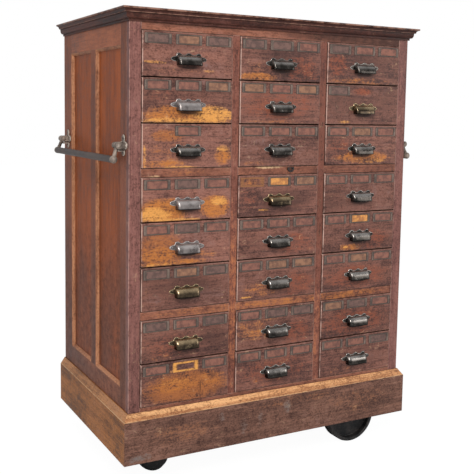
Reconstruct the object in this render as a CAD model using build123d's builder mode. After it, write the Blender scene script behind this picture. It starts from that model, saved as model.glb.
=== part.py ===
"""A wheeled seed storage cabinet: a frame-and-panel case with 24 drawers.

X runs to the right, Y to the back and Z up. Z = 0 is the floor, X = 0 the middle of
the case, and Y = 0 halfway between the cornice's front edge and the back.
All sizes are in millimetres.
"""
from build123d import *
import os
from math import cos, hypot, radians, sin

os.makedirs("parts", exist_ok=True)

# The case
case_width = 1000.0
case_depth = 626.0
floor_clearance = 95.0
plinth_height = 132.0
plinth_bevel = 19.5
plinth_thickness = 18.0
plinth_arris = 1.5
plinth_ledge = 3.0
base_reveal = 10.5
top_rail_reveal = 22.0
cornice_height = 37.5
cornice_reach = 28.0
cornice_lip = 4.5
cornice_lip_return = 2.0
cornice_lip_chamfer = 1.0
cornice_cove_width = 7.5
cornice_cove_height = 9.0
cornice_quirk = 4.5
cornice_quirk_height = 1.5
cornice_ovolo_width = 7.0
cornice_ovolo_height = 15.0
cornice_foot = 4.0
moulding_steps = 3
top_thickness = 18.0
face_thickness = 22.0
stile_width = 36.5
mullion_width = 24.5
mid_rail_height = 24.5
side_thickness = 22.0
side_front_stile = 76.0
side_front_bay = 208.0
side_mid_stile = 61.0
side_back_stile = 89.0
side_low_rail = 70.0
side_top_rail = 71.0
side_panel_recess = 10.0
side_panel_thickness = 8.0
side_bevel = 8.0
back_thickness = 18.0
back_bays = 3
back_stile = 70.0
back_rail = 90.0
back_panel_recess = 6.0
back_panel_thickness = 7.0
back_bevel = 3.0
panel_tongue = 8.0
floor_thickness = 18.0

# The drawers
columns = 3
row_groups = (3, 3, 2)
drawer_pitch = 132.0
front_gap = 1.5
front_proud = 4.0
front_thickness = 19.0
front_arris = 1.5
box_gap = 2.0
box_side_thickness = 11.0
box_side_height = 95.7
box_stop_clearance = 32.7
box_bottom_rise = 5.7
box_bottom_thickness = 6.0
box_back_drop = 7.0
runner_width = 12.0
runner_height = 14.0
runner_lift = 2.0
stop_thickness = 20.0
seat_gap = 0.3

# The label frames and cup pulls on the drawer fronts
label_width = 84.0
label_height = 30.0
label_window_width = 64.0
label_window_height = 22.0
label_thickness = 2.2
label_spacing = 97.0
label_drop = 5.5
pull_width = 77.0
pull_height = 26.0
pull_reach = 22.0
pull_wall = 2.0
pull_round = 9.0
pull_flats = 4
pull_drop = 67.0
pull_span = 114.0
pull_plate_thickness = 2.0
pull_ear_height = 16.0
pull_ear_tip = 8.0
pull_ear_drop = 10.5
crest_height = 7.0
crest_lobe_width = 17.0
crest_lobe_top = 8.0
crest_spacing = 30.0
bare_fronts = {(8, 1)}
missing_labels = {(2, 3): (0, 1), (3, 1): (-1, 1), (4, 2): (-1,), (8, 1): (0,)}

# The catch on the upper middle rail
catch_radius = 12.0
catch_hole_radius = 6.5
catch_thickness = 5.0
catch_bar = 3.0
catch_sides = 12
catch_from_left = 542.0
catch_below_rail_top = 6.0

# The lifting handles on the two sides
handle_height = 1033.0
handle_inset = 39.0
handle_span = 539.0
handle_pivot_out = 22.0
handle_drop = 40.0
handle_lean = 14.0
handle_splay = 10.0
handle_bar_radius = 9.5
handle_pin_radius = 4.0
handle_pin_head = 7.0
handle_pin_head_height = 3.5
handle_eye_radius = 9.5
handle_eye_width = 13.4
handle_neck_gap = 1.0
handle_end_ease = 1.0
handle_arm_thickness = 9.0
handle_arm_width = 12.0
handle_end_radius = 11.0
handle_end_width = 10.0
handle_rivet_radius = 9.0
handle_rivet_height = 5.0
handle_ear_radius = 10.0
handle_ear_thickness = 10.0
handle_side_gap = 0.3
bracket_thickness = 4.0
bracket_lobe_radius = 11.0
bracket_lobe_rise = 20.0
bracket_lobe_spread = 17.0
bracket_core_radius = 18.0
heel_height = 7.0
heel_drop = 11.0
heel_overlap = 6.0
boss_flats = 10
head_flats = 8
rivet_taper = 35.0
pin_fit = 0.06

# The running gear below the case
wheel_radius = 92.0
wheel_width = 45.0
wheel_rim = 13.0
wheel_dish = 18.0
wheel_hub_radius = 25.0
wheel_from_right = 163.0
wheel_inset = 56.0
axle_radius = 10.0
axle_square = 22.0
axle_collar_radius = 15.0
axle_collar_width = 4.0
axle_bracket_thickness = 12.0
axle_bracket_gap = 3.0
axle_bracket_top = 100.0
axle_bracket_boss = 23.0
axle_bracket_flange = 40.0
axle_bracket_flange_height = 8.0
axle_beam_width = 90.0
axle_beam_clearance = 11.0
caster_radius = 52.0
caster_width = 30.0
caster_tread = 24.0
caster_hub_radius = 13.0
caster_pin_radius = 5.0
caster_pin_head = 8.0
caster_pin_head_height = 3.0
caster_trail = 22.0
caster_from_left = 145.5
caster_front_inset = 114.5
caster_back_inset = 492.0
caster_front_turn = -45.0
caster_back_turn = 20.0
caster_leg_thickness = 5.0
caster_leg_radius = 14.0
caster_leg_half_top = 24.0
caster_crown_radius = 30.0
caster_crown_thickness = 5.0
caster_crown_clearance = 9.0
caster_race_width = 10.0
caster_race_height = 10.7
caster_plate_length = 100.0
caster_plate_width = 84.0
caster_plate_thickness = 6.0
kingpin_radius = 7.0
kingpin_head_radius = 11.0
kingpin_head_height = 4.0
caster_beam_width = 110.0

# Levels and planes that follow from the sizes above
rows = sum(row_groups)
half_width = case_width / 2
front_y = (cornice_reach - case_depth) / 2
back_y = front_y + case_depth
plinth_top = floor_clearance + plinth_height + plinth_bevel
openings_low = plinth_top + base_reveal
openings_high = openings_low + rows * drawer_pitch + (len(row_groups) - 1) * mid_rail_height
cornice_low = openings_high + top_rail_reveal
case_high = cornice_low + cornice_height
carcass_high = case_high - top_thickness
opening_width = (case_width - 2 * stile_width - (columns - 1) * mullion_width) / columns
face_back = front_y + face_thickness
inner_half = half_width - side_thickness
inner_back = back_y - back_thickness
fronts_back = front_y - front_proud + front_thickness
box_depth = inner_back - box_stop_clearance - stop_thickness - seat_gap - fronts_back


def board(low, high):
    """A sawn board between two opposite corners."""
    with BuildPart() as piece:
        with BuildSketch(Plane.XY.offset(low[2])):
            with Locations(((low[0] + high[0]) / 2, (low[1] + high[1]) / 2)):
                Rectangle(high[0] - low[0], high[1] - low[1])
        extrude(amount=high[2] - low[2])
    return piece.part


def keep(name, *pieces):
    """Write one named piece, or a group of separate solids that share a name."""
    solids = [solid for piece in pieces for solid in piece.solids()]
    whole = Compound(solids) if len(solids) > 1 else solids[0]
    whole.label = name
    export_step(whole, f"parts/{name}.step")


def column_left(column):
    """Left edge of a column of drawers, counted from 1."""
    return -half_width + stile_width + (column - 1) * (opening_width + mullion_width)


def row_low(row):
    """Bottom of a row of openings, counted from 1 at the top."""
    low, count = openings_high, 0
    for group in row_groups:
        if row <= count + group:
            return low - (row - count) * drawer_pitch
        count += group
        low -= group * drawer_pitch + mid_rail_height


# ---------------------------------------------------------------- mouldings


def quarter(width, height):
    """Steps across and down a quarter of a round, in short flats."""
    turns = [radians(90 * step / moulding_steps) for step in range(moulding_steps + 1)]
    return [(width * sin(turn), height * (1 - cos(turn))) for turn in turns]


def cornice_outline():
    """Section of the cornice: lip, cove, quirk, ovolo and foot, from the case outwards."""
    top, reach = cornice_height, cornice_reach
    cove_out = reach - cornice_lip_return
    cove_top = top - cornice_lip - cornice_lip_chamfer
    ovolo_out = cove_out - cornice_cove_width - cornice_quirk
    ovolo_top = cove_top - cornice_cove_height - cornice_quirk_height
    ovolo_in, ovolo_low = ovolo_out - cornice_ovolo_width, ovolo_top - cornice_ovolo_height
    cove = [(cove_out - across, cove_top - down)
            for across, down in quarter(cornice_cove_width, cornice_cove_height)]
    ovolo = [(ovolo_in + across, ovolo_low + down)
             for across, down in quarter(cornice_ovolo_width, cornice_ovolo_height)]
    with BuildSketch() as outline:
        with BuildLine():
            Polyline((0, 0), (0, top), (reach, top), (reach, top - cornice_lip), *cove,
                     (ovolo_out, cove[-1][1]), *reversed(ovolo),
                     (cornice_foot, ovolo_low), (cornice_foot, 0), close=True)
        make_face()
    return outline.sketch


def plinth_outline():
    """Section of a plinth board: flat face, small arris and a bevel up to the case."""
    top = plinth_height + plinth_bevel
    with BuildSketch() as outline:
        with BuildLine():
            Polyline((0, 0), (0, top), (plinth_ledge, top),
                     (plinth_thickness - plinth_arris, plinth_height),
                     (plinth_thickness, plinth_height - plinth_arris),
                     (plinth_thickness, 0), close=True)
        make_face()
    return outline.sketch


def mitred_runs(outline, reach, low):
    """Front, left and right runs of a moulding, mitred at the two front corners."""
    left_mitre = Plane(origin=(-half_width, front_y, 0), x_dir=(0, 0, 1), z_dir=(1, -1, 0))
    right_mitre = Plane(origin=(half_width, front_y, 0), x_dir=(0, 0, 1), z_dir=(-1, -1, 0))
    overrun = 2 * reach
    front_start = Plane(origin=(half_width + overrun, front_y, low),
                        x_dir=(0, -1, 0), z_dir=(-1, 0, 0))
    with BuildPart() as front:
        with BuildSketch(front_start):
            add(outline)
        extrude(amount=case_width + 2 * overrun)
        split(bisect_by=left_mitre, keep=Keep.TOP)
        split(bisect_by=right_mitre, keep=Keep.TOP)
    left_start = Plane(origin=(-half_width, front_y - overrun, low),
                       x_dir=(-1, 0, 0), z_dir=(0, 1, 0))
    with BuildPart() as left:
        with BuildSketch(left_start):
            add(outline)
        extrude(amount=case_depth + overrun)
        split(bisect_by=left_mitre, keep=Keep.BOTTOM)
    with BuildPart() as right:
        mirror(left.part, about=Plane.YZ)
    return front.part, left.part, right.part


# ---------------------------------------------------------------- case


def panelled_frame(plane, width, height, thickness, bays, recess, panel_thickness, bevel):
    """A frame grooved for its panels, and the panels; the plane lies on its outer face."""

    def bay_boxes(margin):
        return [((left + right) / 2, (low + high) / 2,
                 right - left + 2 * margin, high - low + 2 * margin)
                for left, right, low, high in bays]

    with BuildPart() as frame:
        with BuildSketch(plane):
            with Locations((width / 2, height / 2)):
                Rectangle(width, height)
            for x, y, bay_width, bay_height in bay_boxes(0):
                with Locations((x, y)):
                    Rectangle(bay_width, bay_height, mode=Mode.SUBTRACT)
        extrude(amount=thickness)
        outer = frame.faces().sort_by(Axis(plane.origin, plane.z_dir))[0]
        chamfer([edge for wire in outer.inner_wires() for edge in wire.edges()], bevel)
        with BuildSketch(plane.offset(recess)):
            for x, y, bay_width, bay_height in bay_boxes(panel_tongue):
                with Locations((x, y)):
                    Rectangle(bay_width, bay_height)
        extrude(amount=panel_thickness, mode=Mode.SUBTRACT)
    with BuildPart() as panels:
        with BuildSketch(plane.offset(recess)):
            for x, y, bay_width, bay_height in bay_boxes(panel_tongue):
                with Locations((x, y)):
                    Rectangle(bay_width, bay_height)
        extrude(amount=panel_thickness)
    return frame.part, panels.part


def mirrored(part):
    """The same piece on the other side of the cabinet."""
    with BuildPart() as other:
        mirror(part, about=Plane.YZ)
    return other.part


def side_assembly():
    """The left side: two tall panels in a frame that stands behind the face stile."""
    plane = Plane(origin=(-half_width, face_back, floor_clearance),
                  x_dir=(0, 1, 0), z_dir=(1, 0, 0))
    low = plinth_top + side_low_rail - floor_clearance
    high = cornice_low - side_top_rail - floor_clearance
    first = side_front_stile - face_thickness
    second = first + side_front_bay + side_mid_stile
    width = back_y - face_back
    bays = [(first, first + side_front_bay, low, high),
            (second, width - side_back_stile, low, high)]
    return panelled_frame(plane, width, carcass_high - floor_clearance, side_thickness,
                          bays, side_panel_recess, side_panel_thickness, side_bevel)


def back_assembly():
    """The back: a plainer frame with three panels, between the sides."""
    plane = Plane(origin=(-inner_half, back_y, plinth_top), x_dir=(1, 0, 0), z_dir=(0, -1, 0))
    width, height = 2 * inner_half, carcass_high - plinth_top
    bay = (width - (back_bays + 1) * back_stile) / back_bays
    lefts = [back_stile + index * (bay + back_stile) for index in range(back_bays)]
    bays = [(left, left + bay, back_rail, height - back_rail) for left in lefts]
    return panelled_frame(plane, width, height, back_thickness, bays,
                          back_panel_recess, back_panel_thickness, back_bevel)


def face_frame():
    """Stiles, mullions and rails of the front, each a separate stick."""
    def stick(left, right, low, high):
        return board((left, front_y, low), (right, face_back, high))

    stiles = [stick(-half_width, -half_width + stile_width, floor_clearance, carcass_high),
              stick(half_width - stile_width, half_width, floor_clearance, carcass_high)]
    inner = half_width - stile_width
    top_rail = stick(-inner, inner, openings_high, carcass_high)
    low_rail = stick(-inner, inner, floor_clearance, openings_low)
    mullions = [stick(column_left(column) - mullion_width, column_left(column),
                      openings_low, openings_high) for column in range(2, columns + 1)]
    rail_rows = [sum(row_groups[:index]) for index in range(1, len(row_groups))]
    mid_rails = [stick(column_left(column), column_left(column) + opening_width,
                       row_low(row) - mid_rail_height, row_low(row))
                 for row in rail_rows for column in range(1, columns + 1)]
    return stiles, top_rail, low_rail, mullions, mid_rails


def partitions():
    """Upright boards behind the stiles and mullions, which carry the runners."""
    edges = [(-inner_half, -half_width + stile_width),
             (half_width - stile_width, inner_half)]
    edges += [(column_left(column) - mullion_width, column_left(column))
              for column in range(2, columns + 1)]
    return [board((left, face_back, openings_low), (right, inner_back, carcass_high))
            for left, right in edges]


def runners():
    """A pair of runners for each drawer, and the upright battens that stop the drawers."""
    stop_front = fronts_back + box_depth + seat_gap
    pieces = []
    for column in range(1, columns + 1):
        for left in (column_left(column), column_left(column) + opening_width - runner_width):
            right = left + runner_width
            pieces.append(board((left, stop_front, openings_low),
                                (right, stop_front + stop_thickness, openings_high)))
            for row in range(1, rows + 1):
                low = row_low(row) + runner_lift
                pieces.append(board((left, face_back, low),
                                    (right, stop_front, low + runner_height)))
    return pieces


def rail_catch():
    """A half-round iron keeper on the face of the upper middle rail."""
    rail_top = row_low(row_groups[0])
    plane = Plane(origin=(catch_from_left - half_width, front_y, rail_top - catch_below_rail_top),
                  x_dir=(1, 0, 0), z_dir=(0, -1, 0))
    with BuildPart() as catch:
        with BuildSketch(plane):
            RegularPolygon(catch_radius, catch_sides, major_radius=False)
            RegularPolygon(catch_hole_radius, catch_sides, major_radius=False, mode=Mode.SUBTRACT)
            with Locations((0, catch_radius)):
                Rectangle(3 * catch_radius, 2 * catch_radius, mode=Mode.SUBTRACT)
            with Locations((0, catch_bar / 2)):
                Rectangle(2 * catch_radius, catch_bar)
        extrude(amount=catch_thickness)
    return catch.part


# ---------------------------------------------------------------- drawers


def drawer_box():
    """Front, sides, back and bottom, from the opening's lower left corner on the face."""
    front_back = front_thickness - front_proud
    box_back = front_back + box_depth
    side_low = runner_lift + runner_height + seat_gap
    side_high = side_low + box_side_height
    inner_left = box_gap + box_side_thickness
    inner_right = opening_width - inner_left
    bottom_low = side_low + box_bottom_rise
    bottom_high = bottom_low + box_bottom_thickness
    with BuildPart() as front:
        add(board((front_gap, -front_proud, front_gap),
                  (opening_width - front_gap, front_back, drawer_pitch - front_gap)))
        chamfer(front.faces().sort_by(Axis.Y)[0].edges(), front_arris)
    left = board((box_gap, front_back, side_low), (inner_left, box_back, side_high))
    right = board((inner_right, front_back, side_low),
                  (opening_width - box_gap, box_back, side_high))
    back = board((inner_left, box_back - box_side_thickness, bottom_high),
                 (inner_right, box_back, side_high - box_back_drop))
    bottom = board((inner_left, front_back, bottom_low), (inner_right, box_back, bottom_high))
    return [front.part, left, right, back, bottom]


def label_frame(position):
    """A flat metal frame with a window, left (-1), in the middle (0) or right (1)."""
    centre = (opening_width / 2 + position * label_spacing,
              drawer_pitch - front_gap - label_drop - label_height / 2)
    with BuildPart() as frame:
        with BuildSketch(Plane.XZ.offset(front_proud)):
            with Locations(centre):
                Rectangle(label_width, label_height)
                Rectangle(label_window_width, label_window_height, mode=Mode.SUBTRACT)
        extrude(amount=label_thickness)
    return frame.part


def hood(width, height, reach, steps, top):
    """A block with a quarter-round section in short flats, square at its ends."""
    middle = opening_width / 2
    angles = [radians(90 * step / steps) for step in range(steps + 1)]
    with BuildPart() as cup:
        with BuildSketch(Plane.YZ.offset(middle - width / 2)):
            with BuildLine():
                Polyline(*[(-front_proud - reach * sin(angle), top - height + height * cos(angle))
                           for angle in angles], (-front_proud, top - height), close=True)
            make_face()
        extrude(amount=width)
    return cup.part


def rounded_hood(width, height, reach, steps, rounding, top):
    """The outside of the cup: the same block with its two ends bevelled all round."""
    with BuildPart() as cup:
        add(hood(width, height, reach, steps, top))
        ends = cup.faces().filter_by(Axis.X).edges()
        bevelled = [edge for edge in ends if edge.center().Y < -front_proud - 0.01
                    and edge.center().Z > top - height + 0.01]
        chamfer(bevelled, rounding)
    return cup.part


def cup_pull():
    """A hollow cup on a plate that has an ear at each end and a crest of three lobes."""
    middle = opening_width / 2
    top = drawer_pitch - pull_drop
    ear = top - pull_ear_drop
    half, tip = pull_width / 2, pull_span / 2
    lobe, crown = crest_lobe_width / 2, crest_lobe_top / 2
    with BuildPart() as pull:
        with BuildSketch(Plane.XZ.offset(front_proud)):
            with Locations((middle, top - pull_height / 2)):
                Rectangle(pull_width - pull_round, pull_height)
            for side in (-1, 1):
                with BuildLine():
                    Polyline((middle, ear + pull_ear_height / 2),
                             (middle + side * half, ear + pull_ear_height / 2),
                             (middle + side * tip, ear + pull_ear_tip / 2),
                             (middle + side * tip, ear - pull_ear_tip / 2),
                             (middle + side * half, ear - pull_ear_height / 2),
                             (middle, ear - pull_ear_height / 2), close=True)
                make_face()
            for side in (-1, 0, 1):
                peak = middle + side * crest_spacing
                with BuildLine():
                    Polyline((peak - lobe, top - crest_height), (peak - crown, top + crest_height),
                             (peak + crown, top + crest_height), (peak + lobe, top - crest_height),
                             close=True)
                make_face()
        extrude(amount=pull_plate_thickness)
        add(rounded_hood(pull_width, pull_height, pull_reach, pull_flats, pull_round, top))
        add(hood(pull_width - 2 * pull_round, pull_height - pull_wall, pull_reach - pull_wall,
                 pull_flats - 1, top - pull_wall), mode=Mode.SUBTRACT)
        with BuildSketch(Plane.XZ.offset(front_proud)):
            with Locations((middle, top - pull_height / 2)):
                Rectangle(pull_width - pull_round, pull_height)
        extrude(amount=pull_plate_thickness)
    return pull.part


def make_drawers():
    """All the drawers, each with the labels and the pull that it still has."""
    box, pull = drawer_box(), cup_pull()
    frames = {position: label_frame(position) for position in (-1, 0, 1)}
    for row in range(1, rows + 1):
        for column in range(1, columns + 1):
            gone = missing_labels.get((row, column), ())
            pieces = box + [frame for position, frame in frames.items() if position not in gone]
            if (row, column) not in bare_fronts:
                pieces = pieces + [pull]
            place = Location((column_left(column), front_y, row_low(row)))
            keep(f"drawer_r{row}_c{column}", *[piece.moved(place) for piece in pieces])


# ---------------------------------------------------------------- handles

arm_length = hypot(handle_drop, handle_lean)
arm_down = Vector(-handle_lean, 0, -handle_drop) / arm_length
pivot_x = -half_width - handle_pivot_out
pivots = [(front_y + handle_inset, -1), (front_y + handle_inset + handle_span, 1)]


def round_bar(x, z, low, high, radius):
    """A round bar along Y."""
    with BuildPart() as bar:
        with BuildSketch(Plane(origin=(x, low, z), x_dir=(1, 0, 0), z_dir=(0, 1, 0))):
            Circle(radius)
        extrude(amount=high - low)
    return bar.part


def faceted_bar(x, z, low, high, radius):
    """A forged boss along Y, with flats round it."""
    with BuildPart() as bar:
        with BuildSketch(Plane(origin=(x, low, z), x_dir=(1, 0, 0), z_dir=(0, 1, 0))):
            RegularPolygon(radius, boss_flats, major_radius=False)
        extrude(amount=high - low)
    return bar.part


def rivet_head(x, y, z, outward, radius, height):
    """A hammered head on a face that looks along Y."""
    with BuildPart() as head:
        with BuildSketch(Plane(origin=(x, y, z), x_dir=(1, 0, 0), z_dir=(0, outward, 0))):
            RegularPolygon(radius, head_flats, major_radius=False)
        extrude(amount=height, taper=rivet_taper)
    return head.part


def lifting_handle():
    """The left handle: a round bar riveted into two forged arms with eyes at their tops."""
    feet = []
    with BuildPart() as handle:
        for y, outward in pivots:
            pivot = Vector(pivot_x, y, handle_height)
            foot = pivot + arm_down * arm_length + Vector(0, outward * handle_splay, 0)
            feet.append(foot)
            neck = handle_ear_radius + handle_neck_gap
            shank_end = arm_length - handle_end_radius / 2
            half_eye, half_end = handle_eye_width / 2, handle_end_width / 2
            add(faceted_bar(pivot.X, pivot.Z, y - half_eye, y + half_eye, handle_eye_radius))
            add(faceted_bar(foot.X, foot.Z, foot.Y - half_end, foot.Y + half_end,
                            handle_end_radius))
            add(rivet_head(foot.X, foot.Y + outward * half_end, foot.Z, outward,
                           handle_rivet_radius, handle_rivet_height))
            with BuildSketch(Plane(origin=pivot, x_dir=(0, 1, 0), z_dir=arm_down)):
                Rectangle(handle_arm_width, handle_arm_thickness)
            extrude(amount=neck)
            upper = pivot + arm_down * neck
            lower = pivot + arm_down * shank_end + Vector(0, outward * handle_splay, 0)
            with BuildSketch(Plane(origin=upper, x_dir=(0, 1, 0), z_dir=arm_down)):
                Rectangle(handle_arm_width, handle_arm_thickness)
            with BuildSketch(Plane(origin=lower, x_dir=(0, 1, 0), z_dir=arm_down)):
                Rectangle(handle_end_width - handle_end_ease, handle_arm_thickness)
            loft()
            add(round_bar(pivot.X, pivot.Z, y - half_eye, y + half_eye,
                          handle_pin_radius + pin_fit), mode=Mode.SUBTRACT)
        front, back = feet
        add(round_bar(front.X, front.Z, front.Y, back.Y, handle_bar_radius))
    return handle.part


def handle_bracket(y):
    """A lobed plate with two ears, the pivot pin through them and the heel between them."""
    face = Plane(origin=(-half_width, y, handle_height), x_dir=(0, 1, 0), z_dir=(-1, 0, 0))
    near = handle_eye_width / 2 + handle_side_gap
    far = near + handle_ear_thickness
    slope = handle_lean / handle_drop
    arm_face = heel_drop * slope - handle_arm_thickness / 2 * arm_length / handle_drop
    heel_reach = handle_pivot_out + arm_face - seat_gap
    nose, turn = handle_pivot_out + handle_ear_radius, handle_ear_radius * cos(radians(45))
    with BuildPart() as bracket:
        with BuildSketch(face):
            RegularPolygon(bracket_core_radius, head_flats, rotation=180 / head_flats)
            with Locations((0, bracket_lobe_rise), (0, -bracket_lobe_rise),
                           (bracket_lobe_spread, 0), (-bracket_lobe_spread, 0)):
                RegularPolygon(bracket_lobe_radius, head_flats, major_radius=False,
                               rotation=180 / head_flats)
        extrude(amount=bracket_thickness)
        for low, high in ((near, far), (-far, -near)):
            ear = Plane(origin=(-half_width, y + low, handle_height),
                        x_dir=(-1, 0, 0), z_dir=(0, -1, 0))
            with BuildSketch(ear):
                with BuildLine():
                    Polyline((0, handle_ear_radius), (handle_pivot_out, handle_ear_radius),
                             (handle_pivot_out + turn, turn), (nose, 0),
                             (handle_pivot_out + turn, -turn),
                             (handle_pivot_out, -handle_ear_radius), (0, -handle_ear_radius),
                             close=True)
                make_face()
            extrude(amount=low - high)
        heel = Plane(origin=(-half_width, y, handle_height - heel_drop),
                     x_dir=(-1, 0, 0), z_dir=(0, 0, -1))
        with BuildSketch(heel):
            with Locations((heel_reach / 2, 0)):
                Rectangle(heel_reach, 2 * near + heel_overlap)
        extrude(amount=heel_height)
        add(round_bar(pivot_x, handle_height, y - near, y + near, handle_pin_radius))
        for side in (-1, 1):
            add(rivet_head(pivot_x, y + side * far, handle_height, side,
                           handle_pin_head, handle_pin_head_height))
    return bracket.part


# ---------------------------------------------------------------- running gear

axle_x = half_width - wheel_from_right
wheel_ys = (front_y + wheel_inset, back_y - wheel_inset)
caster_x = caster_from_left - half_width
caster_spots = [(front_y + caster_front_inset, caster_front_turn),
                (front_y + caster_back_inset, caster_back_turn)]
floor_low = openings_low - floor_thickness
axle_beam_low = 2 * wheel_radius + axle_beam_clearance
crown_low = 2 * caster_radius + caster_crown_clearance
crown_high = crown_low + caster_crown_thickness
plate_low = crown_high + caster_race_height + seat_gap
caster_beam_low = plate_low + caster_plate_thickness


def big_wheel(y, outward):
    """A cast wheel on the axle: a hub, a sunk web and a rim, flat on the inner side."""
    origin = (axle_x, y, wheel_radius)
    half, inner = wheel_width / 2, wheel_radius - wheel_rim
    web = half - wheel_dish
    axis_plane = Plane(origin=origin, x_dir=(0, outward, 0), z_dir=(-outward, 0, 0))
    with BuildPart() as wheel:
        with BuildSketch(axis_plane):
            with BuildLine():
                Polyline((-half, axle_radius + pin_fit), (half, axle_radius + pin_fit),
                         (half, wheel_hub_radius), (web, wheel_hub_radius), (web, inner),
                         (half, inner), (half, wheel_radius), (-half, wheel_radius), close=True)
            make_face()
        revolve(axis=Axis(origin, (0, 1, 0)))
    return wheel.part


def axle():
    """The fixed axle: square between the wheels, round in their hubs, with end collars."""
    ends = [(wheel_ys[0], -1), (wheel_ys[1], 1)]
    reach = wheel_width / 2 + seat_gap
    plane = Plane(origin=(axle_x, wheel_ys[0] + reach, wheel_radius),
                  x_dir=(1, 0, 0), z_dir=(0, 1, 0))
    with BuildPart() as bar:
        with BuildSketch(plane):
            Rectangle(axle_square, axle_square)
        extrude(amount=wheel_ys[1] - wheel_ys[0] - 2 * reach)
        for y, outward in ends:
            low, high = sorted((y - outward * reach, y + outward * reach))
            add(round_bar(axle_x, wheel_radius, low, high, axle_radius))
            low, high = sorted((y + outward * reach, y + outward * (reach + axle_collar_width)))
            add(faceted_bar(axle_x, wheel_radius, low, high, axle_collar_radius))
    return bar.part


def axle_bracket(y, inward):
    """A tapered iron hanger with a square eye for the axle and a flange under its beam."""
    start = y + inward * (wheel_width / 2 + axle_bracket_gap)
    plane = Plane(origin=(axle_x, start, wheel_radius),
                  x_dir=(-inward, 0, 0), z_dir=(0, inward, 0))
    rise = axle_beam_low - wheel_radius
    half = axle_bracket_top / 2
    with BuildPart() as bracket:
        with BuildSketch(plane):
            RegularPolygon(axle_bracket_boss, boss_flats, major_radius=False)
            with BuildLine():
                Polyline((-axle_bracket_boss, 0), (axle_bracket_boss, 0), (half, rise),
                         (-half, rise), close=True)
            make_face()
            Rectangle(axle_square, axle_square, mode=Mode.SUBTRACT)
        extrude(amount=axle_bracket_thickness)
        flange = Plane(origin=(axle_x, start, axle_beam_low), x_dir=(1, 0, 0), z_dir=(0, 0, -1))
        with BuildSketch(flange):
            with Locations((0, -inward * axle_bracket_flange / 2)):
                Rectangle(axle_bracket_top, axle_bracket_flange)
        extrude(amount=axle_bracket_flange_height)
    return bracket.part


def beams():
    """Two timbers across the case floor, one over the casters and one over the axle."""
    spots = ((caster_x, caster_beam_width, caster_beam_low),
             (axle_x, axle_beam_width, axle_beam_low))
    return [board((x - width / 2, face_back, low), (x + width / 2, inner_back, floor_low))
            for x, width, low in spots]


def turned(part, y, turn):
    """A caster piece moved to its kingpin and swivelled about it."""
    return part.moved(Location((caster_x, y, 0), (0, 0, turn)))


def caster_plate():
    """The fixed plate with the kingpin that the fork swivels on."""
    with BuildPart() as plate:
        with BuildSketch(Plane.XY.offset(plate_low)):
            Rectangle(caster_plate_length, caster_plate_width)
        extrude(amount=caster_plate_thickness)
        with BuildSketch(Plane.XY.offset(crown_low - seat_gap)):
            Circle(kingpin_radius)
        extrude(amount=plate_low - crown_low + seat_gap)
        with BuildSketch(Plane.XY.offset(crown_low - seat_gap)):
            RegularPolygon(kingpin_head_radius, head_flats, major_radius=False)
        extrude(amount=-kingpin_head_height)
    return plate.part


def caster_fork():
    """The fork: a crown with a ring race, and two legs on the wheel's pin behind the kingpin."""
    inner = caster_width / 2 + 2 * seat_gap
    outer = inner + caster_leg_thickness
    foot = caster_trail + caster_leg_radius
    with BuildPart() as fork:
        with BuildSketch(Plane.XY.offset(crown_low)):
            RegularPolygon(caster_crown_radius, boss_flats, major_radius=False)
        extrude(amount=caster_crown_thickness + caster_race_height)
        with BuildSketch(Plane.XY.offset(crown_high)):
            RegularPolygon(caster_crown_radius - caster_race_width, boss_flats,
                           major_radius=False)
        extrude(amount=caster_race_height, mode=Mode.SUBTRACT)
        for low in (inner, -outer):
            leg = Plane(origin=(0, low, 0), x_dir=(-1, 0, 0), z_dir=(0, 1, 0))
            with BuildSketch(leg):
                with BuildLine():
                    Polyline((caster_trail - caster_leg_radius, caster_radius),
                             (caster_trail, caster_radius - caster_leg_radius),
                             (foot, caster_radius - caster_leg_radius / 2),
                             (foot, caster_radius + caster_leg_radius),
                             (caster_leg_half_top, crown_high),
                             (-caster_leg_half_top, crown_high), close=True)
                make_face()
            extrude(amount=caster_leg_thickness)
        add(round_bar(-caster_trail, caster_radius, -inner, inner, caster_pin_radius))
        for side in (-1, 1):
            add(rivet_head(-caster_trail, side * outer, caster_radius, side,
                           caster_pin_head, caster_pin_head_height))
        with BuildSketch(Plane.XY.offset(crown_low)):
            Circle(kingpin_radius + pin_fit)
        extrude(amount=caster_crown_thickness, mode=Mode.SUBTRACT)
    return fork.part


def caster_wheel():
    """The small wheel: a disc with a wider hub, which fills the fork."""
    origin = (-caster_trail, 0, caster_radius)
    half, tread = caster_width / 2, caster_tread / 2
    with BuildPart() as wheel:
        with BuildSketch(Plane(origin=origin, x_dir=(0, 1, 0), z_dir=(-1, 0, 0))):
            with BuildLine():
                Polyline((-half, caster_pin_radius + pin_fit), (half, caster_pin_radius + pin_fit),
                         (half, caster_hub_radius), (tread, caster_hub_radius),
                         (tread, caster_radius), (-tread, caster_radius),
                         (-tread, caster_hub_radius), (-half, caster_hub_radius), close=True)
            make_face()
        revolve(axis=Axis(origin, (0, 1, 0)))
    return wheel.part


# ---------------------------------------------------------------- the whole cabinet

keep("top_board", board((-half_width, front_y, carcass_high), (half_width, back_y, case_high)))
keep("cornice", *mitred_runs(cornice_outline(), cornice_reach, cornice_low))
plinth_front, plinth_left, plinth_right = mitred_runs(
    plinth_outline(), plinth_thickness, floor_clearance)
keep("plinth_front", plinth_front)
keep("plinth_left", plinth_left)
keep("plinth_right", plinth_right)
keep("plinth_back", board((-inner_half, inner_back, floor_clearance),
                          (inner_half, back_y, plinth_top)))

stiles, top_rail, low_rail, mullions, mid_rails = face_frame()
keep("face_stiles", *stiles)
keep("top_rail", top_rail)
keep("bottom_rail", low_rail)
keep("mullions", *mullions)
keep("mid_rails", *mid_rails)
keep("rail_catch", rail_catch())

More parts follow.
